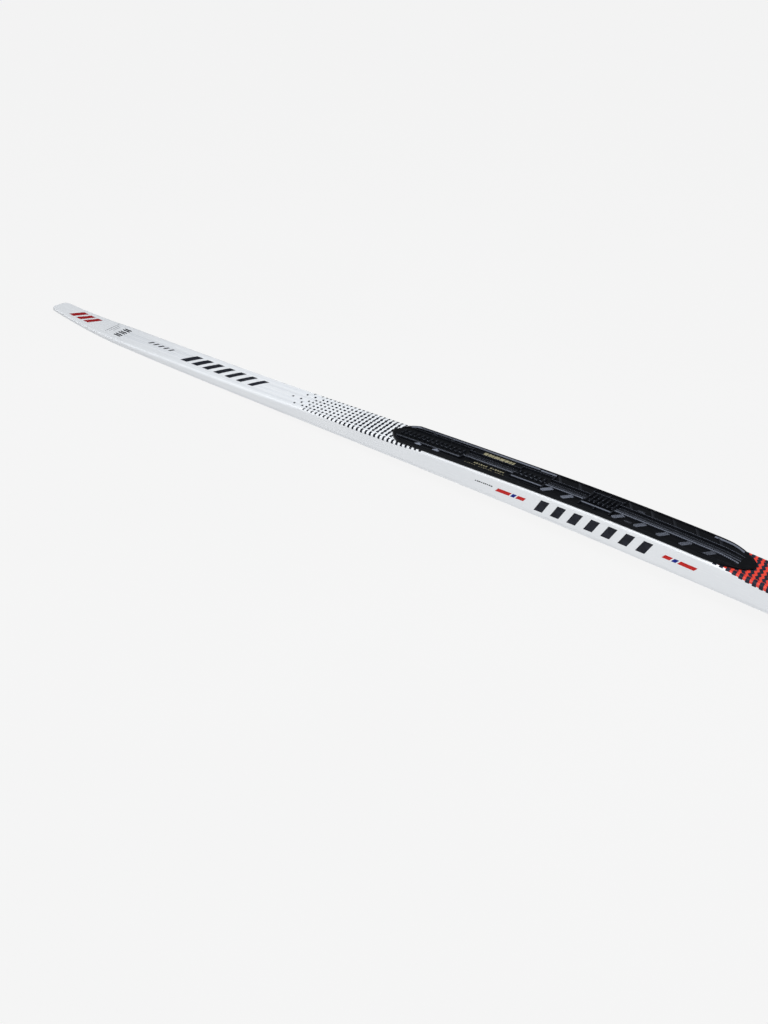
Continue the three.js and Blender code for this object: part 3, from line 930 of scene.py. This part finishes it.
def build_plate_racks():
    """Cross teeth that lock the binding's parts, in two rows beside a low centre bar, some between posts."""
    shell = Shell()
    slot = 0.9
    for start, teeth, pitch, half, height in RACKS:
        tooth, across = pitch * 0.36, half - slot
        for i in range(teeth):
            s = start + i * pitch
            for row in (-1, 1):
                middle = row * (half + slot) / 2
                add_block(shell, s, middle, tooth, across, BLOCK_FOOT, height - 0.1, bevel=0.4, lean=-0.35)
        end = start + (teeth - 1) * pitch
        add_bar(shell, -slot, slot, 1.9, start - 2, end + 2)
        if height > 4:
            for s in (start - 2, (start + end) / 2, end + 2):
                for side in (-1, 1):
                    add_block(shell, s, side * (RAIL_WIDE + 2.1), 1.3, 4.2, BLOCK_FOOT, 3.9, bevel=0.3)
    return dress(shell.piece("plate_racks", [rail_plastic_painted_highlight], 35), "plate_plastic")


def add_wedge(shell, s, y, long, side):
    """A rib whose crest is at its rear, with a broad slope down towards the tip."""
    spin = Matrix.Rotation(side * RIB_LEAN, 3, "Z")
    centre = place(s, y, seat_at(s))
    half = RIB_WIDTH / 2
    profile = [
        (-half, BLOCK_FOOT), (half, BLOCK_FOOT), (half, RIB_HEIGHT - RIB_FALL),
        (-half + 0.6, RIB_HEIGHT), (-half + 0.2, RIB_HEIGHT), (-half, RIB_HEIGHT - 0.3),
    ]
    rings = []
    for end in (-1, 1):
        rings.append([centre + spin @ Vector((u * MM, -end * long / 2 * MM, z * MM)) for u, z in profile])
    shell.loft(rings)


def build_plate_ribs():
    """Slanted ribs on both wings, inner end forward, and a low pad on each wing.

    Each rib has a broad slope that faces forward and outward.
    """
    shell = Shell()
    for first, count, inner in RIB_ROWS:
        reach = RIB_OUTER - inner + 1.4
        for side in (1, -1):
            middle = side * (RIB_OUTER - reach / 2)
            for i in range(count):
                s = first + i * RIB_PITCH
                add_wedge(shell, s, middle, reach / math.cos(RIB_LEAN), side)
    for side in (1, -1):
        add_block(shell, 872, side * 12.6, 8.0, 2.6, BLOCK_FOOT, SLAB + 0.45, bevel=0.4)
    return dress(shell.piece("plate_ribs", [rib_plastic_painted_highlight], 24), "plate_plastic")


def build_rim_lips():
    """Sloping lips along the inner side of the rim, beside the rails and at the nose."""
    shell = Shell()
    for side in (1, -1):
        for start, end, outer in ((594, 755, 18.9), (756.5, 775, 17.8), (945, 976, 18.2)):
            def section(s, outer=outer, side=side):
                seat = seat_at(s)
                y = min(outer, plate_half_at(s) - RIM_WIDTH + 0.3)
                high = plate_wall_at(s, RIM_HEIGHT) + 0.15
                points = [
                    (y, seat + BAR_FOOT), (y, seat + high), (y - 0.9, seat + high),
                    (y - 2.3, seat + high - 0.8), (y - 2.3, seat + BAR_FOOT),
                ]
                return points if side > 0 else [(-a, b) for a, b in reversed(points)]

            shell.loft(bar_rings(stations(start, end, 6), section))
    return dress(shell.piece("rim_lips", [rail_plastic_painted_highlight], 24), "plate_plastic")


def build_rim_hatching():
    """Fine upright ridges along the rim's outer faces."""
    shell = Shell()
    first = 604
    for side in (1, -1):
        for j in range(int((PLATE_TO - NOSE - first) / FINE_PITCH)):
            s = first + j * FINE_PITCH
            middle = side * (plate_half_at(s) - 0.35)
            add_block(shell, s, middle, 1.0, 0.72, 0.35, RIM_HEIGHT - 0.5, bevel=0.12)
    return dress(shell.piece("rim_hatching", [black_plastic], 35), "plate_plastic")


def plate_print(shell, s, y, length, height):
    """A thin printed patch on the plate's wing."""
    corners = []
    for a, b in ((-1, -1), (1, -1), (1, 1), (-1, 1)):
        at = s + a * length / 2
        corners.append(place(at, y + b * height / 2, seat_at(at) + SLAB + 0.05))
    shell.add(corners, [[0, 1, 2, 3]])


def build_plate_marks():
    """Dull gold segments and ticks printed on the wings beside the centre rack."""
    shell = Shell()
    s = 689.0
    for length in (5.5, 7.5, 7.0, 6.0, 5.0, 4.0, 3.0):
        plate_print(shell, s + length / 2, 12.6, length - 0.8, 6.4)
        s += length
    for row, (y, start, count) in enumerate(((-9.6, 691, 15), (-14.6, 685, 17), (13.4, 648, 11))):
        for i in range(count):
            if (i * 5 + row * 3) % 7:
                plate_print(shell, start + 2.9 * i, y, 1.5 + 0.3 * (i % 3), 2.4 - 0.5 * (i % 2))
    return dress(shell.piece("plate_marks", [gold_ink]), "plate_plastic")


# ---------------------------------------------------------------- carried-over CAD nodes
CARRIED = {
    "lower_laminate": glass_look,
    "torsion_cap": carbon_look,
    "binding_reinforcement": carbon_look,
    "foam_core": milled_foam("core_foam"),
    "tail_filler": cast_filler("tail_spacer", (0.20, 0.21, 0.22), (0.33, 0.34, 0.36)),
    "tip_filler": cast_filler("tip_spacer", (0.20, 0.21, 0.22), (0.33, 0.34, 0.36)),
    "plate_bond": cast_filler("plate_glue", (0.10, 0.10, 0.11), (0.18, 0.18, 0.19)),
}


def dress_cad_nodes():
    for name, look in CARRIED.items():
        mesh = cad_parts[name].data
        mesh.materials.clear()
        mesh.materials.append(look)


# ---------------------------------------------------------------- stage, light and camera
def build_floor():
    """A pale floor with a soft glow of its own, just below the sole."""
    half, gap = 30.0, 0.0004  # metres
    n = Nodes("pale_floor")
    cloud = n.noise(3.0, 2.0)
    look = n.finish(n.mix(n.ramp(cloud, 0.3, 0.7), (0.013, 0.013, 0.013), (0.017, 0.017, 0.017)), 0.9)
    n.shader.inputs["Specular IOR Level"].default_value = 0.0
    n.shader.inputs["Emission Color"].default_value = (1.0, 1.0, 1.0, 1.0)
    n.shader.inputs["Emission Strength"].default_value = 0.895
    corners = [Vector((x * half, y * half, -gap)) for x, y in ((-1, -1), (1, -1), (1, 1), (-1, 1))]
    floor = finish_mesh("floor", corners, [[0, 1, 2, 3]], [look])


def softbox(name, location, target, size, power):
    """A rectangular light at location that faces target, in metres and watts."""
    data = bpy.data.lights.new(name, "AREA")
    data.shape = "RECTANGLE"
    data.size, data.size_y = size
    data.energy = power
    data.color = (0.98, 0.99, 1.0)
    lamp = bpy.data.objects.new(name, data)
    lamp.location = location
    lamp.rotation_mode = "QUATERNION"
    lamp.rotation_quaternion = (Vector(location) - Vector(target)).to_track_quat("Z", "Y")
    bpy.context.scene.collection.objects.link(lamp)


def build_light():
    world = bpy.data.worlds.new("studio")
    world.use_nodes = True
    background = world.node_tree.nodes["Background"]
    background.inputs["Color"].default_value = (0.93, 0.97, 1.0, 1.0)
    background.inputs["Strength"].default_value = 0.08
    bpy.context.scene.world = world
    softbox("front_softbox", (0.1, -1.3, 1.1), (-0.2, 0, 0), (1.8, 0.8), 15)
    softbox("top_softbox", (-0.2, -0.1, 1.1), (-0.2, -0.05, 0), (1.7, 0.9), 18)
    bpy.context.scene.view_settings.view_transform = "Standard"


def build_camera():
    """From the ski's right and ahead of its middle, looking back and down at the plate and the tail."""
    heading, pitch, roll = math.radians(128.644), math.radians(30.482), math.radians(2.721)
    data = bpy.data.cameras.new("camera")
    data.sensor_fit = "AUTO"
    data.sensor_width = 36.0
    data.lens = 42.19
    camera = bpy.data.objects.new("camera", data)
    level = math.cos(pitch)
    ahead = Vector((level * math.cos(heading), level * math.sin(heading), -math.sin(pitch)))
    right = ahead.cross(Vector((0, 0, 1))).normalized()
    up = right.cross(ahead)
    turned_right = math.cos(roll) * right + math.sin(roll) * up
    turned_up = math.cos(roll) * up - math.sin(roll) * right
    turn = Matrix((turned_right, turned_up, -ahead)).transposed().to_4x4()
    camera.matrix_world = Matrix.Translation(place(1293.9, -902.6, 600.8)) @ turn
    bpy.context.scene.collection.objects.link(camera)
    bpy.context.scene.camera = camera


build_camera()
build_light()
build_floor()
dress_cad_nodes()
build_cap("white_cap", 0, RED_CAP_FROM, white_look)
build_cap("red_cap", RED_CAP_FROM, LENGTH, red_look)
build_sole()
build_edge(1, "left_edge", "edge_strip_left")
build_edge(-1, "right_edge", "edge_strip_right")
build_red_print()
build_rear_halftone()
build_front_halftone()
build_tail_marks()
build_side_marks()
build_front_marks()
build_plate_tray()
build_plate_rails()
build_plate_spine()
build_plate_racks()
build_plate_ribs()
build_rim_lips()
build_rim_hatching()
build_plate_marks()
